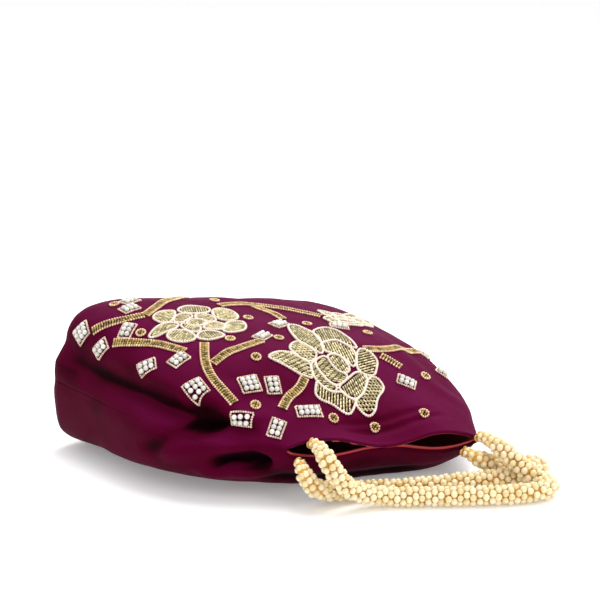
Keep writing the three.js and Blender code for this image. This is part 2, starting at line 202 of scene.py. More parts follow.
ROSE_PETALS = {
    "bud": ([(-6, 2), (-1, 5), (3, 4), (6, 1), (5, -2), (2, -4), (-3, -4), (-6, -1)], 20),
    "inner_back_left": ([(-10, 9), (-6, 12), (-2, 13), (3, 11), (2, 7), (-4, 5), (-7, 3), (-11, 5)], 120),
    "inner_back_right": ([(3, 7), (7, 11), (11, 10), (14, 7), (13, -1), (7, -2), (6, 1), (3, 4)], 24),
    "inner_left": ([(-10, 2), (-7, 2), (-5, -2), (-1, -5), (-4, -10), (-7, -11), (-10, -8), (-11, -3)], 214),
    "inner_right": ([(0, -6), (5, -3), (10, -2), (14, -5), (13, -9), (8, -13), (3, -12), (-1, -9)], 309),
    "left": ([(-19, 16), (-14, 20), (-8, 21), (-2, 18), (-6, 13), (-10, 9), (-13, 7), (-18, 8)], 128),
    "back": ([(-1, 18), (5, 22), (12, 24), (21, 20), (20, 15), (14, 11), (7, 11), (-1, 13)], 59),
    "back_right": ([(19, 13), (24, 16), (29, 15), (31, 9), (29, 1), (24, -3), (16, -2), (15, 6)], 14),
    "right": ([(16, -4), (26, -5), (26, -10), (22, -16), (16, -19), (9, -19), (7, -14), (12, -11)], 325),
    "front": ([(-9, -14), (-4, -11), (0, -12), (4, -16), (5, -22), (-1, -23), (-7, -23), (-11, -18)], 259),
    "front_left": ([(-24, -6), (-20, -2), (-15, -2), (-10, -7), (-10, -15), (-14, -19), (-19, -18),
                    (-23, -13)], 212),
    "leaf": ([(-32, 1), (-26, 5), (-20, 7), (-13, 7), (-10, 2), (-15, -1), (-21, -1), (-28, -2)], 175),
}
FLOWERS = {
    "front_flower": (FLOWER_PETALS, (6, 45), 0, 1.0),
    "back_flower": (ROSE_PETALS, (-38, 105), 0, 1.0),
    "crest_flower": (FLOWER_PETALS, (62, 97), -40, 0.5),
}
STEMS = {
    "left_stem": [(-84, 122), (-76, 108), (-69, 98), (-65, 88), (-62, 80)],
    "front_stem": [(-49, 80), (-57, 67), (-63, 55), (-65, 45), (-65, 35)],
    "front_stem_branch": [(-55, 62), (-43, 66), (-33, 67), (-19, 70)],
    "base_left_stem": [(-84, 142), (-76, 135), (-68, 129), (-59, 127)],
    "base_stem": [(-57, 127), (-47, 132), (-34, 140), (-11, 152)],
    "crest_vine": [(-6, 127), (10, 130), (24, 124), (38, 112), (46, 102)],
    "crest_vine_branch": [(16, 124), (18, 112), (17, 100)],
    "mouth_stem": [(-20, 37), (-27, 32), (-36, 29), (-44, 23)],
    "right_stem": [(35, 53), (49, 53), (66, 57), (82, 61)],
    "right_stem_branch": [(41, 48), (44, 44), (46, 41)],
}
STEM_HALF_WIDTH = 2.2

# Pearl clusters: (across, back), turn in degrees, pearls each way
PEARL_CLUSTERS = [
    ((-87, 152), 55, 3, 3), ((-91, 131), 60, 2, 3), ((-51, 150), 10, 3, 2), ((-59, 139), 5, 3, 2),
    ((-74, 121), 30, 3, 2), ((-83, 89), 60, 2, 3), ((-68, 76), 10, 3, 2), ((-75, 52), 80, 3, 3),
    ((-14, 76), 30, 3, 2), ((8, 91), 20, 3, 2), ((-50, 41), 65, 3, 3), ((-39, 37), 60, 3, 2),
    ((-68, 27), 30, 2, 3), ((-55, 13), 40, 3, 2), ((-32, 18), 65, 2, 4), ((45, 84), 55, 2, 3),
    ((40, 31), 40, 2, 3), ((89, 62), 30, 3, 2), ((84, 46), 30, 3, 2),
]
GOLD_ROSETTES = [
    (-60, 152), (-70, 113), (-1, 138), (-4, 104), (-33, 79), (-6, 72), (-33, 56), (-56, 29),
    (26, 89), (57, 74), (58, 36), (34, 12), (1, 9), (-21, 13),
]
SEED_BEAD = 1.7
CLUSTER_PEARL = 3.1
CLUSTER_MARGIN = 0.75
FRAME_BEAD = 1.35
ROSETTE_RADIUS = 2.5
BUGLE_LENGTH = 2.6
BUGLE_WIDTH = 1.15
FILL_REACH = 26
STEM_ROD = (1.9, 1.25, 1.25)
STEM_ROD_PLACE = 0.42
STEM_PITCH = 1.5
ROSETTE_BEADS = 12
ROSETTE_MIDDLE = 1.2
ROSETTE_LIFT = 0.6
LOOK_AHEAD = 0.8


def metres(points):
    """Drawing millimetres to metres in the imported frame: add the shift and divide by a thousand."""
    return (np.asarray(points, float) + DRAWING_SHIFT) * 0.001


def smooth(low, high, x):
    """Zero below low, one above high, and 3t squared minus 2t cubed between them."""
    t = np.clip((x - low) / (high - low), 0, 1)
    return t * t * (3 - 2 * t)


def along(curve, share):
    """Value of a curve of (share, value) points: a cubic with harmonic slopes, so it never overshoots."""
    x, y = np.array(curve, float).T
    width = np.diff(x)
    rise = np.diff(y) / width
    product = rise[:-1] * rise[1:]
    total = np.where(product > 0, rise[:-1] + rise[1:], 1)
    inner = np.where(product > 0, 2 * product / total, 0)
    slope = np.concatenate([rise[:1], inner, rise[-1:]])
    i = np.clip(np.searchsorted(x, share) - 1, 0, len(width) - 1)
    t = (share - x[i]) / width[i]
    start = y[i] * (1 + 2 * t) + slope[i] * width[i] * t
    end = y[i + 1] * (3 - 2 * t) - slope[i + 1] * width[i] * (1 - t)
    return start * (1 - t) ** 2 + end * t ** 2


def section(share, angle, fill):
    """Body's section at a share of its length: a superellipse, its sides folded in along the seams.

    A fold is a bell curve of the height above its own level. The mouth end is turned and rolled.
    """
    cosine, sine = np.cos(angle), np.sin(angle)
    front = sine >= 0
    reach = BAG_WIDTH * np.where(cosine >= 0, along(RIGHT_REACH, share), along(LEFT_REACH, share))
    power = 2 / np.where(front, along(FRONT_FULLNESS, share), along(BACK_FULLNESS, share))
    crest, seam = BAG_HEIGHT * along(CREST, share), BAG_HEIGHT * along(SEAM, share)
    flat = reach * np.sign(cosine) * np.abs(cosine) ** power
    lean = along(CREST_LEAN, share) * crest * flat / 100
    half_height = np.where(front, crest - seam - lean, seam - along(BELLY, share))
    height = half_height * np.sign(sine) * np.abs(sine) ** power
    above = height - np.where(cosine < 0, LEFT_FOLD_RISE, 0)
    fold = along(SEAM_FOLD, share) * np.exp(-((above / SEAM_FOLD_WIDTH) ** 2)) * np.abs(cosine)
    ridge = np.where(cosine < 0, LEFT_RIDGE * (1 - share), 0)
    inset = along(SHOULDER_INSET, share) * smooth(0, SHOULDER_RISE, height - ridge) * np.abs(flat / reach)
    x = (flat - np.sign(cosine) * (fold + inset)) * fill
    y = MOUTH_AT + BAG_LENGTH * (1 - share) - math.tan(math.radians(MOUTH_SKEW)) * x * share ** 2
    z = seam + height * fill - MOUTH_ROLL * x * share ** 3
    return np.stack([x, y + 0 * x, np.maximum(z, RESTING_LEVEL)], -1)


def panel_rows():
    """Shares and fills of the rows: a rounded base whose fill grows to one, then the body to the mouth."""
    depth = BASE_ROUNDING / BAG_LENGTH
    fill = np.sin(np.linspace(0.0003, 0.5 * np.pi, BASE_ROWS)) ** 0.8
    cap = depth * (1 - (1 - fill ** BASE_SQUARENESS) ** (1 / BASE_SQUARENESS))
    body = depth + (1 - depth) * np.linspace(0, 1, BODY_ROWS)[1:]
    return np.concatenate([cap, body]), np.concatenate([fill, np.ones(len(body))])


def path_gap(places, path):
    """Distance of each place to a path, and a fade: one along the path, falling to zero at its two ends."""
    points = np.array(path, float)
    nearest = np.full(places.shape[:-1], np.inf)
    reach = np.zeros(places.shape[:-1])
    spans = np.linalg.norm(np.diff(points, axis=0), axis=1)
    runs = np.concatenate([[0], np.cumsum(spans)])
    for i in range(len(spans)):
        way = (points[i + 1] - points[i]) / spans[i]
        run = np.clip((places - points[i]) @ way, 0, spans[i])
        gap = np.linalg.norm(places - points[i] - run[..., None] * way, axis=-1)
        closer = gap < nearest
        nearest = np.where(closer, gap, nearest)
        reach = np.where(closer, runs[i] + run, reach)
    share = reach / runs[-1]
    return nearest, smooth(0, FOLD_END, share) * smooth(0, FOLD_END, 1 - share)


def fold_height(places, folds):
    """Sum of folds: each its height times a bell curve of the distance to its path, times the fade."""
    height = np.zeros(places.shape[:-1])
    for path, width, rise in folds:
        gap, fade = path_gap(places, path)
        height += rise * fade * np.exp(-((gap / width) ** 2))
    return height


def ripple(points, size, height, seed):
    """Soft unevenness: a sum of eight sine waves over the points, with seeded directions and phases."""
    waves = np.random.default_rng(seed)
    ways = waves.normal(size=(8, 3))
    ways /= np.linalg.norm(ways, axis=1)[:, None]
    lengths = size * waves.uniform(0.7, 1.6, 8)
    phases = waves.uniform(0, 2 * np.pi, 8)
    return height * np.sin(2 * np.pi * (points @ ways.T) / lengths + phases).sum(-1) / 8


def grid_normals(points, outward):
    """Unit normals of a grid: the cross product of its two steps, turned to the outward sign."""
    normal = np.cross(np.gradient(points, axis=0), np.gradient(points, axis=1)) * outward
    return normal / (np.linalg.norm(normal, axis=-1, keepdims=True) + 1e-9)


def panel_points(front):
    """Panel's cloth as a grid from base to mouth and from left to right seam, with its painted light and
    shade.

    Rows are spaced evenly by distance. Side folds move points to the middle line, other folds and ripples
    move them along the normal, fading at the seams. Painted light makes the velvet lighter as the cloth
    faces up, and painted shade makes it darker in folds; a random unevenness is added.
    """
    shares, fills = panel_rows()
    angles = np.linspace(np.pi, 0 if front else 2 * np.pi, ROW_SAMPLES)
    fine = section(shares[:, None], angles[None, :], fills[:, None])
    steps = np.linalg.norm(np.diff(fine, axis=1), axis=-1)
    run = np.concatenate([np.zeros((len(shares), 1)), np.cumsum(steps, axis=1)], axis=1)
    spread = np.linspace(0, 1, COLUMNS)
    rows = [[np.interp(spread * run[i, -1], run[i], fine[i, :, k]) for k in range(3)]
            for i in range(len(shares))]
    points = np.array(rows).transpose(0, 2, 1)
    lengths = run[:, -1]
    share = shares[:, None]
    middle = np.exp(-(((spread - 0.5) / LIP_SPREAD) ** 2))[None, :]
    lip = smooth(LIP_START, 1, share) ** LIP_CURVE * middle
    points[..., 2] += np.where(front, -FRONT_LIP_SAG, BACK_LIP_RISE) * lip
    sink = fold_height(points, SIDE_FOLDS)
    inward = np.array([0, 0, MIDDLE_LINE_HEIGHT]) - points
    inward[..., 1] = 0
    inward /= np.linalg.norm(inward, axis=-1, keepdims=True) + 1e-9
    points = points + inward * sink[..., None]
    normal = grid_normals(points, 1 if front else -1)
    back = BAG_LENGTH * (1 - share) + 0 * spread[None, :]
    places = np.stack([spread[None, :] * lengths[:, None], back], -1)
    height = fold_height(places, FRONT_FOLDS if front else BACK_FOLDS)
    from_left = places[..., 0]
    held = smooth(0, SEAM_HOLD, from_left) * smooth(0, SEAM_HOLD, lengths[:, None] - from_left)
    height *= FOLD_AT_SEAM + (1 - FOLD_AT_SEAM) * held
    loose = held * fills[:, None] ** 4
    height += loose * (ripple(points, *LARGE_RIPPLE) + ripple(points, *SMALL_RIPPLE))
    lifted = points + normal * height[..., None]
    lifted[..., 2] = np.maximum(lifted[..., 2], RESTING_LEVEL)
    upward = grid_normals(lifted, 1 if front else -1)[..., 2]
    # Painted light where the cloth faces up, painted shade for each millimetre of fold depth; random
    # unevenness added below
    painted_light_and_tone = PAINTED_SIDE_LEVEL + PAINTED_TOP_LIGHT * smooth(*PAINTED_LIGHT_FACING, upward) - PAINTED_FOLD_SHADE * (sink - height)
    return lifted, lengths, np.clip(painted_light_and_tone + ripple(points, *NAP_RIPPLE), 0, 1)


def mesh_piece(name, points, faces, material, smooth_shade=True):
    """New object from points in metres and faces, riding on the body, with its materials."""
    mesh = bpy.data.meshes.new(name)
    mesh.from_pydata(np.asarray(points).tolist(), [], faces)
    mesh.update()
    mesh.polygons.foreach_set("use_smooth", np.full(len(mesh.polygons), smooth_shade))
    for one in material if isinstance(material, list) else [material]:
        mesh.materials.append(one)
    piece = bpy.data.objects.new(name, mesh)
    bpy.context.scene.collection.objects.link(piece)
    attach(piece, "root")
    return piece


def set_tone(piece, values):
    """Gives each point of a piece its tone, which the materials read."""
    tone = piece.data.attributes.new("tone", "FLOAT", "POINT")
    tone.data.foreach_set("value", np.asarray(values, np.float32).reshape(-1))


def grid_faces(rows, columns, closed=False):
    """Quads of a grid, row by row, whose rows may close on themselves."""
    i, j = np.meshgrid(np.arange(rows - 1), np.arange(columns if closed else columns - 1), indexing="ij")
    k = (j + 1) % columns
    quads = np.stack([i * columns + j, (i + 1) * columns + j, (i + 1) * columns + k, i * columns + k], -1)
    return quads.reshape(-1, 4)


def ball(segments=8, rings=5):
    """Unit ball of a few dozen faces: points on rings of latitude, with their faces."""
    levels = np.pi * np.arange(1, rings) / rings
    turns = 2 * np.pi * np.arange(segments) / segments
    ring = np.stack([np.sin(levels)[:, None] * np.cos(turns), np.sin(levels)[:, None] * np.sin(turns),
                     np.cos(levels)[:, None] + 0 * turns], -1).reshape(-1, 3)
    points = np.concatenate([ring, [[0, 0, 1], [0, 0, -1]]])
    top, bottom, last = len(ring), len(ring) + 1, (rings - 2) * segments
    faces = grid_faces(rings - 1, segments, True).tolist()
    faces += [(top, j, (j + 1) % segments) for j in range(segments)]
    faces += [(bottom, last + (j + 1) % segments, last + j) for j in range(segments)]
    return points, faces


def rod(sides=6):
    """Short rod along X of unit length and width, its two ends a little narrower."""
    turns = 2 * np.pi * np.arange(sides) / sides
    across = np.stack([np.cos(turns), np.sin(turns)], -1) * 0.5
    stations = [(-0.5, 0.6), (-0.38, 1), (0.38, 1), (0.5, 0.6)]
    points = np.concatenate([np.column_stack([np.full(sides, x), across * size]) for x, size in stations])
    faces = grid_faces(len(stations), sides, True).tolist()
    faces.append(list(range(sides))[::-1])
    faces.append([3 * sides + j for j in range(sides)])
    return points, faces


BALL = ball()
ROD = rod()


class Beads:
    """Collects beads of several finishes and turns them into one mesh with a tone for each bead."""

    def __init__(self):
        self.points, self.faces, self.finishes, self.tones, self.count = [], [], [], [], 0

    def add(self, shape, centres, frames, sizes, finish):
        """Copies of a shape: its points times the bead's sizes, turned by its frame, plus its centre."""
        unit, faces = shape
        centres = np.asarray(centres, float)
        if len(centres) == 0:
            return
        scaled = unit[None, :, :] * np.broadcast_to(sizes, (len(centres), 3))[:, None, :]
        placed = np.einsum("nij,nkj->nki", frames, scaled) + centres[:, None, :]
        self.points.append(placed.reshape(-1, 3))
        tones = CHANCE.uniform(0, 1, len(centres))
        self.tones.append(np.repeat(tones, len(unit)))
        starts = self.count + len(unit) * np.arange(len(centres))
        for face in faces:
            self.faces.extend((starts[:, None] + np.array(face)).tolist())
        self.finishes.append(np.full(len(centres) * len(faces), finish))
        self.count += len(centres) * len(unit)

    def piece(self, name, slot, materials):
        """The collected beads as one object."""
        made = mesh_piece(name, metres(np.concatenate(self.points)), self.faces, materials)
        made.data.polygons.foreach_set("material_index", np.concatenate(self.finishes).astype(np.int32))
        set_tone(made, np.concatenate(self.tones))
        return made


class Material:
    """A procedural material: one Principled shader and the nodes that feed it."""

    def __init__(self, name, **values):
        self.made = bpy.data.materials.new(name)
        self.made.use_nodes = True
        self.nodes = self.made.node_tree.nodes
        self.shader = self.nodes["Principled BSDF"]
        for key, value in values.items():
            self.shader.inputs[key.replace("_", " ")].default_value = value

    def node(self, kind, **values):
        """New node with its sockets set by name."""
        made = self.nodes.new(kind)
        for key, value in values.items():
            made.inputs[key.replace("_", " ")].default_value = value
        return made

    def link(self, out, into):
        """Joins an output socket to an input socket."""
        self.made.node_tree.links.new(out, into)

    def noise(self, scale, detail=2.0):
        """Noise over the object's own coordinates."""
        place = self.nodes.new("ShaderNodeTexCoord")
        made = self.node("ShaderNodeTexNoise", Scale=scale, Detail=detail)
        self.link(place.outputs["Object"], made.inputs["Vector"])
        return made.outputs["Fac"]

    def tone(self):
        """The piece's tone attribute: random for each bead; for velvet, painted shade and light with a
        random unevenness.
        """
        made = self.nodes.new("ShaderNodeAttribute")
        made.attribute_name = "tone"
        return made.outputs["Fac"]

    def ramp(self, factor, stops):
        """Colours spread over a factor from 0 to 1."""
        made = self.nodes.new("ShaderNodeValToRGB")
        band = made.color_ramp
        band.elements[0].position, band.elements[1].position = stops[0][0], stops[-1][0]
        band.elements[0].color, band.elements[1].color = (*stops[0][1], 1), (*stops[-1][1], 1)
        for position, colour in stops[1:-1]:
            band.elements.new(position).color = (*colour, 1)
        self.link(factor, made.inputs["Fac"])
        return made.outputs["Color"]

    def bump(self, height, strength, distance):
        """Surface relief from a height."""
        made = self.node("ShaderNodeBump", Strength=strength, Distance=distance)
        self.link(height, made.inputs["Height"])
        self.link(made.outputs["Normal"], self.shader.inputs["Normal"])


def velvet_material():
    """Plum velvet: painted shade makes it nearly black in its folds; maroon on its sides; painted light
    makes it purple where its pile faces up.
    """
    made = Material("plum_velvet", Roughness=0.6, Sheen_Weight=0.1, Sheen_Roughness=0.3,
                    Sheen_Tint=(0.5, 0.08, 0.3, 1), Specular_IOR_Level=0.03,
                    Specular_Tint=(0.8, 0.3, 0.5, 1))
    # Painted fold shade at 0, the velvet's maroon near a side's level, painted light towards 1 where it
    # faces up
    stops = [(0, (0.002, 0.0001, 0.0006)), (0.2, (0.012, 0.0002, 0.002)), (0.42, (0.065, 0.0006, 0.012)),
             (0.7, (0.08, 0.001, 0.02)), (1, (0.1, 0.002, 0.034))]
    made.link(made.ramp(made.tone(), stops), made.shader.inputs["Base Color"])
    made.bump(made.noise(2600, 2), 0.3, 0.0006)
    return made.made


def satin_material():
    """Red satin lining with a soft shine and a fine thread relief."""
    made = Material("red_satin", Roughness=0.38, Sheen_Weight=0.2)
    made.link(made.ramp(made.noise(60), [(0.3, (0.3, 0.006, 0.01)), (0.7, (0.45, 0.016, 0.016))]),
              made.shader.inputs["Base Color"])
    made.bump(made.noise(3000), 0.15, 0.0002)
    return made.made


def pearl_material(name, stops):
    """Imitation pearl: a tone for each bead, under a clear coat."""
    made = Material(name, Roughness=0.3, Coat_Weight=0.6, Coat_Roughness=0.12, Specular_IOR_Level=0.6)
    made.link(made.ramp(made.tone(), stops), made.shader.inputs["Base Color"])
    made.bump(made.noise(900), 0.05, 0.0001)
    return made.made


def metal_bead_material(name, stops, metallic):
    """Gold or silver-lined bead: a tone for each bead, half metal."""
    made = Material(name, Roughness=0.32, Metallic=metallic, Specular_IOR_Level=0.7)
    made.link(made.ramp(made.tone(), stops), made.shader.inputs["Base Color"])
    made.bump(made.noise(1500), 0.08, 0.0001)
    return made.made


def thread_material():
    """Yellow silk thread, its strands as a fine stretched noise."""
    made = Material("yellow_thread", Roughness=0.55, Sheen_Weight=0.4)
    made.link(made.ramp(made.noise(700), [(0.3, (0.5, 0.22, 0.015)), (0.7, (0.82, 0.45, 0.05))]),
              made.shader.inputs["Base Color"])
    made.bump(made.noise(2200), 0.5, 0.0004)
    return made.made


def add_camera():
    """Camera at the photo's angle, and its shift for the bag's place in the picture."""
    turn, rise = math.radians(CAMERA_AZIMUTH), math.radians(CAMERA_ELEVATION)
    back = np.array([math.sin(turn) * math.cos(rise), -math.cos(turn) * math.cos(rise), math.sin(rise)])
    data = bpy.data.cameras.new("camera")
    data.lens, data.shift_x, data.shift_y = CAMERA_LENS, *CAMERA_SHIFT
    camera = bpy.data.objects.new("camera", data)
    camera.location = metres(CAMERA_TARGET + back * CAMERA_DISTANCE)
    camera.rotation_euler = Vector(back).to_track_quat("Z", "Y").to_euler()
    bpy.context.scene.collection.objects.link(camera)
    bpy.context.scene.camera = camera


def rope_path(knots, route, spacing):
    """Smooth centre line from knot to knot: a centripetal Catmull-Rom curve, spaced evenly by distance."""
    ends = []
    for centre, way in knots:
        way = np.array(way) / np.linalg.norm(way)
        start = np.array(centre) + way * (KNOT_HALF_DEPTH + KNOT_TO_ROPE)
        ends.append((start, start + way * ROPE_LEAD))
    points = np.vstack([ends[0], np.array(route, float), ends[1][::-1]])
    points[:, 2] += ROPE_LIFT
    points = np.vstack([2 * points[0] - points[1], points, 2 * points[-1] - points[-2]])
    before, here, after, beyond = points[:-3], points[1:-2], points[2:-1], points[3:]
    root = [np.sqrt(np.linalg.norm(b - a, axis=1))[:, None] for a, b in
            ((before, here), (here, after), (after, beyond))]
    slopes = [(here - before) / root[0], (after - here) / root[1], (beyond - after) / root[2]]
    leave = (slopes[0] - (after - before) / (root[0] + root[1]) + slopes[1]) * root[1]
    arrive = (slopes[1] - (beyond - here) / (root[1] + root[2]) + slopes[2]) * root[1]
    t = np.linspace(0, 1, 40, endpoint=False)[None, :, None]
    curve = ((2 * t ** 3 - 3 * t ** 2 + 1) * here[:, None] + (t ** 3 - 2 * t ** 2 + t) * leave[:, None]
             + (3 * t ** 2 - 2 * t ** 3) * after[:, None] + (t ** 3 - t ** 2) * arrive[:, None])
    dense = np.vstack([curve.reshape(-1, 3), points[-2:-1]])
    run = np.concatenate([[0], np.cumsum(np.linalg.norm(np.diff(dense, axis=0), axis=1))])
    count = int(round(run[-1] / spacing)) + 1
    even = np.linspace(0, run[-1], count)
    return np.stack([np.interp(even, run, dense[:, k]) for k in range(3)], -1), run[-1]


def rope_frames(path):
    """Two directions across a path at each point: one level, the other square to it and to the path."""
    ahead = np.gradient(path, axis=0)
    ahead /= np.linalg.norm(ahead, axis=1)[:, None]
    level = np.cross(ahead, [0, 0, 1.0])
    level /= np.linalg.norm(level, axis=1)[:, None] + 1e-9
    return level, np.cross(level, ahead)


def make_rope(name, knots, route, materials):
    """Pearl rope: rings of pearls, each turned half a pearl from the last, round a core of yellow thread.

    A pearl's centre is the path's point plus the ring's radius times the cosine and sine of its angle.
    """
    path, length = rope_path(knots, route, RING_PITCH)
    level, upward = rope_frames(path)
    rings = len(path)
    ring = np.repeat(np.arange(rings), PEARLS_AROUND)
    spot = np.tile(np.arange(PEARLS_AROUND), rings)
    angle = 2 * np.pi * (spot + 0.5 * (ring % 2)) / PEARLS_AROUND + CHANCE.normal(0, 0.06, len(ring))
    from_end = np.minimum(ring, rings - 1 - ring) * RING_PITCH
    radius = (ROPE_DIAMETER - PEARL_DIAMETER) / 2 * (0.45 + 0.55 * smooth(-4, 16, from_end))
    wander = CHANCE.normal(0, 0.16, (len(ring), 3))
    centres = path[ring] + radius[:, None] * (np.cos(angle)[:, None] * level[ring]
                                              + np.sin(angle)[:, None] * upward[ring]) + wander
    size = PEARL_DIAMETER / 2 * CHANCE.uniform(0.93, 1.04, len(ring))
    size *= 0.82 + 0.18 * smooth(-2, 10, from_end)
    centres[:, 2] = np.maximum(centres[:, 2], size + 0.45)
    beads = Beads()
    upright = np.broadcast_to(np.eye(3), (len(ring), 3, 3))
    beads.add(BALL, centres, upright, np.repeat(size[:, None], 3, axis=1), 0)
    fine, _ = rope_path(knots, route, CORE_STEP)
    side, top = rope_frames(fine)
    turns = 2 * np.pi * np.arange(CORE_SIDES) / CORE_SIDES
    tube = (fine[:, None] + ROPE_CORE_RADIUS * (np.cos(turns)[None, :, None] * side[:, None]
                                                + np.sin(turns)[None, :, None] * top[:, None]))
    start = beads.count
    beads.points.append(tube.reshape(-1, 3))
    beads.tones.append(np.full(tube.size // 3, 0.5))
    faces = grid_faces(len(fine), CORE_SIDES, True) + start
    last = start + (len(fine) - 1) * CORE_SIDES
    caps = [list(range(start, start + CORE_SIDES))[::-1], list(range(last, last + CORE_SIDES))]
    beads.faces.extend(faces[:, ::-1].tolist() + caps)
    beads.finishes.append(np.full(len(faces) + 2, 1))
    beads.count += tube.size // 3
    rope = beads.piece(name + "_pearls", "pearl", materials)
    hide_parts(name)


def make_panel(name, points, painted_light_and_tone, front, material):
    """Velvet panel from its grid of points and their painted light and shade, thickened inwards."""
    rows, columns = points.shape[:2]
    faces = grid_faces(rows, columns)
    if not front:
        faces = faces[:, ::-1]
    piece = mesh_piece(name + "_velvet", metres(points.reshape(-1, 3)), faces.tolist(), material)
    # The tone carries the velvet's painted light and shade
    set_tone(piece, painted_light_and_tone)
    thick = piece.modifiers.new("cloth", "SOLIDIFY")
    thick.thickness = VELVET_THICKNESS * 0.001
    thick.offset = -1
    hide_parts(name)
    return piece


def make_lining(front, back, material):
    """Satin lining: both panels' grids moved inwards and joined; its back edge shows past the velvet."""
    depth = VELVET_THICKNESS + LINING_GAP
    inner_front = front - grid_normals(front, 1) * depth
    inner_back = back - grid_normals(back, -1) * depth
    ring = np.concatenate([inner_front, inner_back[:, -2:0:-1]], axis=1)[4:]
    edge = ring[-1] - ring[-2]
    edge /= np.linalg.norm(edge, axis=1)[:, None]
    past = np.where(np.arange(len(edge)) < COLUMNS, FRONT_EDGE, BACK_EDGE)
    ring = np.concatenate([ring, (ring[-1] + edge * past[:, None])[None]])
    rows, columns = ring.shape[:2]
    faces = grid_faces(rows, columns, True).tolist()
    piece = mesh_piece("lining_satin", metres(ring.reshape(-1, 3)), faces, material)
    thick = piece.modifiers.new("cloth", "SOLIDIFY")
    thick.thickness = LINING_THICKNESS * 0.001
    thick.offset = -1
    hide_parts("lining")
    return piece


class Cloth:
    """The front panel's finished surface, for sewing beads to it."""

    def __init__(self, points, lengths):
        self.points, self.lengths = points, lengths
        self.normals = grid_normals(points, 1)
        self.shares = panel_rows()[0]

    def look_up(self, grid, across, back):
        """Bilinear value of a grid at places on the cloth: across from its middle, back from the mouth."""
        share = np.clip(1 - np.asarray(back, float) / BAG_LENGTH, 0, 1)
        row = np.interp(share, self.shares, np.arange(len(self.shares)))
        length = np.interp(row, np.arange(len(self.lengths)), self.lengths)
        column = np.clip((np.asarray(across, float) / length + 0.5), 0, 1) * (COLUMNS - 1)
        i, j = np.minimum(row.astype(int), len(self.shares) - 2), np.minimum(column.astype(int), COLUMNS - 2)
        s, t = (row - i)[:, None], (column - j)[:, None]
        top = grid[i, j] * (1 - t) + grid[i, j + 1] * t
        low = grid[i + 1, j] * (1 - t) + grid[i + 1, j + 1] * t
        return top * (1 - s) + low * s

    def patch(self, places, turns):
        """Matrices from millimetres along turned directions and square to them, to steps of cloth places."""
        across, back = np.asarray(places, float).T
        right = self.look_up(self.points, across + 1, back) - self.look_up(self.points, across - 1, back)
        rear = self.look_up(self.points, across, back + 1) - self.look_up(self.points, across, back - 1)
        steps = np.stack([right, rear], -1) / 2
        ahead = steps[..., 0] * np.cos(turns)[:, None] + steps[..., 1] * np.sin(turns)[:, None]
        ahead /= np.linalg.norm(ahead, axis=1)[:, None]
        normal = np.cross(right, rear)
        square = np.cross(normal / np.linalg.norm(normal, axis=1)[:, None], ahead)
        return np.linalg.pinv(steps) @ np.stack([ahead, square], -1)

    def spaced(self, line, pitch, closed=False):
        """Places along a line at an even pitch over the cloth, with the line's direction at each."""
        corners = np.array(line, float)
        if closed:
            corners = np.vstack([corners, corners[:1]])
        share = np.linspace(0, len(corners) - 1, 12 * len(corners))
        dense = np.stack([np.interp(share, np.arange(len(corners)), corners[:, k]) for k in range(2)], -1)
        seats = self.look_up(self.points, dense[:, 0], dense[:, 1])
        run = np.concatenate([[0], np.cumsum(np.linalg.norm(np.diff(seats, axis=0), axis=1))])
        even = np.linspace(0, run[-1], max(int(round(run[-1] / pitch)), 2), endpoint=not closed)
        places = np.stack([np.interp(even, run, dense[:, k]) for k in range(2)], -1)
        step = np.gradient(places, axis=0)
        return places, np.arctan2(step[:, 1], step[:, 0])

    def seat(self, places, turns, lift):
        """Centres and frames of beads at cloth places, each turned on the cloth and lifted off it."""
        across, back = np.asarray(places, float).T
        centre = self.look_up(self.points, across, back)
        normal = self.look_up(self.normals, across, back)
        normal /= np.linalg.norm(normal, axis=1)[:, None]
        ahead_a, ahead_b = across + LOOK_AHEAD * np.cos(turns), back + LOOK_AHEAD * np.sin(turns)
        ahead = self.look_up(self.points, ahead_a, ahead_b) - centre
        ahead -= (ahead * normal).sum(1)[:, None] * normal
        ahead /= np.linalg.norm(ahead, axis=1)[:, None] + 1e-9
        frames = np.stack([ahead, np.cross(normal, ahead), normal], -1)
        return centre + normal * np.reshape(lift, (-1, 1)), frames


def rounded(points, closed):
    """A line through points made rounder: two rounds of cutting every corner at a quarter of its sides."""
    points = np.array(points, float)
    for _ in range(2):
        nearer = np.roll(points, -1, axis=0) if closed else points[1:]
        first = points if closed else points[:-1]
        cut = np.stack([first * 0.75 + nearer * 0.25, first * 0.25 + nearer * 0.75], 1).reshape(-1, 2)
        points = cut if closed else np.vstack([points[:1], cut, points[-1:]])
    return points


def inside(outline, places):
    """Which places lie inside an outline: those whose ray to the right crosses it an odd number of times."""
    a, b = np.array(outline, float), np.roll(np.array(outline, float), -1, axis=0)
    x, y = places[:, None, 0], places[:, None, 1]
    spans = (a[:, 1] > y) != (b[:, 1] > y)
    rise = np.where(np.abs(b[:, 1] - a[:, 1]) < 1e-9, 1e-9, b[:, 1] - a[:, 1])
    crossing = a[:, 0] + (y - a[:, 1]) / rise * (b[:, 0] - a[:, 0])
    return (spans & (x < crossing)).sum(1) % 2 == 1


def seed_row(beads, cloth, points, pitch, size, finish, closed=False):
    """A row of seed beads sewn along a line."""
    places, turns = cloth.spaced(points, pitch, closed)
    centres, frames = cloth.seat(places, turns, np.full(len(places), size * 0.42))
    beads.add(BALL, centres, frames, np.array([0.5, 0.5, 0.45]) * size, finish)


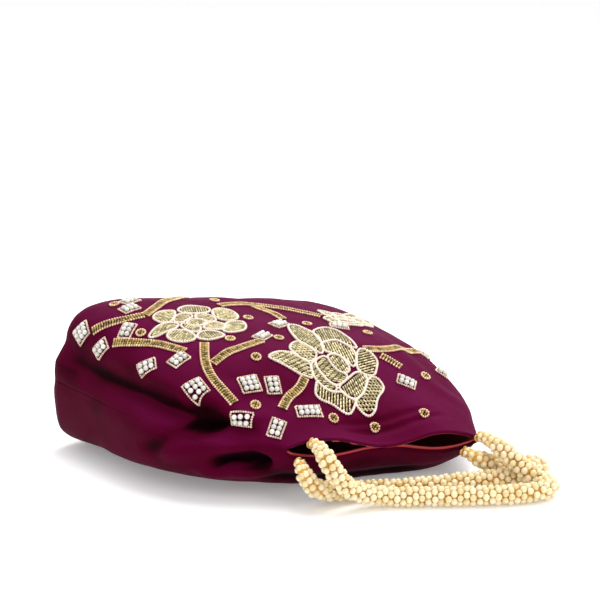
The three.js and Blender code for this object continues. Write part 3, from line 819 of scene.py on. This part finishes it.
def make_flower(name, cloth, materials):
    """Flower: each petal outlined in cream seed beads and filled with rows of silver-gold rods."""
    petals, (across, back), turn, size = FLOWERS[name]
    cosine, sine = math.cos(math.radians(turn)) * size, math.sin(math.radians(turn)) * size
    spin = np.array([[cosine, sine], [-sine, cosine]])
    beads = Beads()
    for outline, way in petals.values():
        line = rounded(np.array(outline, float) @ spin + (across, back), True)
        seed_row(beads, cloth, line, SEED_BEAD * 0.82, SEED_BEAD, 0, True)
        angle = math.radians(way + turn)
        axis = np.array([math.cos(angle), math.sin(angle)])
        side = np.array([-math.sin(angle), math.cos(angle)])
        steps = np.arange(-FILL_REACH, FILL_REACH + 1)
        u, v = np.meshgrid(steps * BUGLE_LENGTH * 1.04, steps * BUGLE_WIDTH * 1.22, indexing="ij")
        u = u + 0.5 * BUGLE_LENGTH * (np.arange(len(steps)) % 2)[None, :]
        grid = line.mean(0) + u.reshape(-1, 1) * axis + v.reshape(-1, 1) * side
        shrunk = line.mean(0) + (line - line.mean(0)) * 0.9
        places = grid[inside(shrunk, grid)]
        if len(places) == 0:
            continue
        turns = angle + CHANCE.normal(0, 0.1, len(places))
        centres, frames = cloth.seat(places, turns, np.full(len(places), BUGLE_WIDTH * 0.5))
        beads.add(ROD, centres, frames, (BUGLE_LENGTH, BUGLE_WIDTH, BUGLE_WIDTH), 1)
    piece = beads.piece(name + "_beads", "gold_beads", materials)
    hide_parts(name)
    return piece


def make_stem(name, cloth, materials):
    """Stem: two borders of gold seed beads, filled with short rods across it."""
    line = rounded(STEMS[name], False)
    places, turns = cloth.spaced(line, STEM_PITCH)
    side = cloth.patch(places, turns)[..., 1]
    beads = Beads()
    for hand in (-1, 1):
        seed_row(beads, cloth, places + hand * STEM_HALF_WIDTH * side, SEED_BEAD * 0.85, SEED_BEAD * 0.85, 0)
    for hand in (-STEM_ROD_PLACE, STEM_ROD_PLACE):
        spots = places + hand * STEM_HALF_WIDTH * side
        tilt = turns + np.pi / 2 + CHANCE.normal(0, 0.25, len(places))
        centres, frames = cloth.seat(spots, tilt, np.full(len(places), 0.6))
        beads.add(ROD, centres, frames, STEM_ROD, 1)
    piece = beads.piece(name + "_beads", "gold_beads", materials)
    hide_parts(name)
    return piece


def make_cluster(name, cloth, cluster, materials):
    """Cluster: a block of white pearls inside a row of small pale gold beads."""
    at, turn, wide, deep = cluster
    patch = cloth.patch([at], np.radians([turn]))[0]
    u, v = np.meshgrid(np.arange(wide) - (wide - 1) / 2, np.arange(deep) - (deep - 1) / 2, indexing="ij")
    spots = at + np.stack([u, v], -1).reshape(-1, 2) * CLUSTER_PEARL * 0.98 @ patch.T
    beads = Beads()
    centres, frames = cloth.seat(spots, np.zeros(len(spots)), np.full(len(spots), CLUSTER_PEARL * 0.42))
    beads.add(BALL, centres, frames, np.array([0.5, 0.5, 0.5]) * CLUSTER_PEARL, 0)
    half = np.array([wide, deep]) * CLUSTER_PEARL / 2 + CLUSTER_MARGIN
    corners = at + np.array([(-1, -1), (1, -1), (1, 1), (-1, 1)]) * half @ patch.T
    seed_row(beads, cloth, corners, FRAME_BEAD * 0.95, FRAME_BEAD, 1, True)
    piece = beads.piece(name + "_beads", "pearl", materials)
    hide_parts(name)
    return piece


def make_rosette(name, cloth, at, materials):
    """Rosette: a ring of gold seed beads round a darker middle."""
    patch = cloth.patch([at], np.zeros(1))[0]
    turns = 2 * np.pi * np.arange(ROSETTE_BEADS) / ROSETTE_BEADS
    circle = np.stack([np.cos(turns), np.sin(turns)], -1)
    beads = Beads()
    lift = np.full(ROSETTE_BEADS, ROSETTE_LIFT)
    centres, frames = cloth.seat(at + ROSETTE_RADIUS * circle @ patch.T, turns, lift)
    beads.add(BALL, centres, frames, np.array([0.72, 0.72, 0.65]), 0)
    centres, frames = cloth.seat(at + ROSETTE_MIDDLE * circle[::3] @ patch.T, turns[::3], lift[::3])
    beads.add(BALL, centres, frames, np.array([0.8, 0.8, 0.7]), 1)
    piece = beads.piece(name + "_beads", "gold_beads", materials)
    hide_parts(name)
    return piece


def make_stage():
    """Pale floor, soft studio lights and a white surround."""
    size = 4.0
    corners = [(-size, -size, 0), (size, -size, 0), (size, size, 0), (-size, size, 0)]
    mesh = bpy.data.meshes.new("floor")
    mesh.from_pydata(corners, [], [(0, 1, 2, 3)])
    floor = bpy.data.objects.new("floor", mesh)
    made = Material("pale_floor", Roughness=0.6, Base_Color=(0.92, 0.92, 0.92, 1), Specular_IOR_Level=0.1,
                    Emission_Color=(1, 1, 1, 1), Emission_Strength=0.2)
    mesh.materials.append(made.made)
    bpy.context.scene.collection.objects.link(floor)
    world = bpy.data.worlds.new("surround")
    world.use_nodes = True
    world.node_tree.nodes["Background"].inputs["Color"].default_value = (1, 1, 1, 1)
    world.node_tree.nodes["Background"].inputs["Strength"].default_value = 0.85
    bpy.context.scene.world = world
    lights = {
        "top_light": ((0.3, 0.15, 1.3), 0.9, 13),
        "front_light": ((0.1, -1.2, 0.9), 0.7, 3),
        "right_light": ((1.0, 0.2, 0.8), 0.6, 4),
    }
    for name, (place, width, power) in lights.items():
        data = bpy.data.lights.new(name, "AREA")
        data.size, data.energy = width, power
        light = bpy.data.objects.new(name, data)
        light.location = place
        light.rotation_euler = Vector(place).to_track_quat("Z", "Y").to_euler()
        bpy.context.scene.collection.objects.link(light)
    bpy.context.scene.view_settings.view_transform = "Standard"


add_camera()
CREAM = pearl_material("cream_pearl", [(0, (0.78, 0.58, 0.27)), (0.5, (0.88, 0.74, 0.43)),
                                       (1, (0.92, 0.75, 0.5))])
WHITE = pearl_material("white_pearl", [(0, (0.62, 0.58, 0.52)), (1, (0.85, 0.82, 0.78))])
OUTLINE = pearl_material("cream_seed_bead", [(0, (0.74, 0.6, 0.48)), (1, (0.88, 0.76, 0.66))])
GOLD = metal_bead_material("gold_seed_bead", [(0, (0.62, 0.4, 0.2)), (1, (0.9, 0.66, 0.42))], 0.3)
PALE = metal_bead_material("pale_gold_bead", [(0, (0.55, 0.4, 0.28)), (1, (0.88, 0.7, 0.55))], 0.2)
OLIVE = metal_bead_material("olive_gold_bead", [(0, (0.1, 0.06, 0.012)), (1, (0.52, 0.36, 0.1))], 0.5)
SILVER = metal_bead_material("silver_gold_bead", [(0, (0.25, 0.2, 0.08)), (1, (0.72, 0.63, 0.36))], 0.5)
THREAD = thread_material()
VELVET = velvet_material()
SATIN = satin_material()

for rope_name, rope_knots, rope_route in (("front_handle_rope", FRONT_KNOTS, FRONT_ROPE_ROUTE),
                                          ("back_handle_rope", BACK_KNOTS, BACK_ROPE_ROUTE)):
    make_rope(rope_name, rope_knots, rope_route, [CREAM, THREAD])
for knot_name in ("front_left_knot", "front_right_knot", "back_left_knot", "back_right_knot"):
    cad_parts[knot_name].data.materials.clear()
    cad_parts[knot_name].data.materials.append(THREAD)

# Each panel comes with its velvet's painted light and shade, plus a random unevenness
front_points, front_lengths, front_painted_light_and_tone = panel_points(True)
back_points, _, back_painted_light_and_tone = panel_points(False)
front_panel = make_panel("front_panel", front_points, front_painted_light_and_tone, True, VELVET)
back_panel = make_panel("back_panel", back_points, back_painted_light_and_tone, False, VELVET)
lining = make_lining(front_points, back_points, SATIN)
CLOTH = Cloth(front_points, front_lengths)
sewn_on = [make_flower(flower, CLOTH, [OUTLINE, SILVER]) for flower in FLOWERS]
sewn_on += [make_stem(stem, CLOTH, [GOLD, OLIVE]) for stem in STEMS]
sewn_on += [make_cluster(f"pearl_cluster_{number:02d}", CLOTH, cluster, [WHITE, PALE])
            for number, cluster in enumerate(PEARL_CLUSTERS, 1)]
sewn_on += [make_rosette(f"gold_rosette_{number:02d}", CLOTH, spot, [GOLD, OLIVE])
            for number, spot in enumerate(GOLD_ROSETTES, 1)]
make_stage()
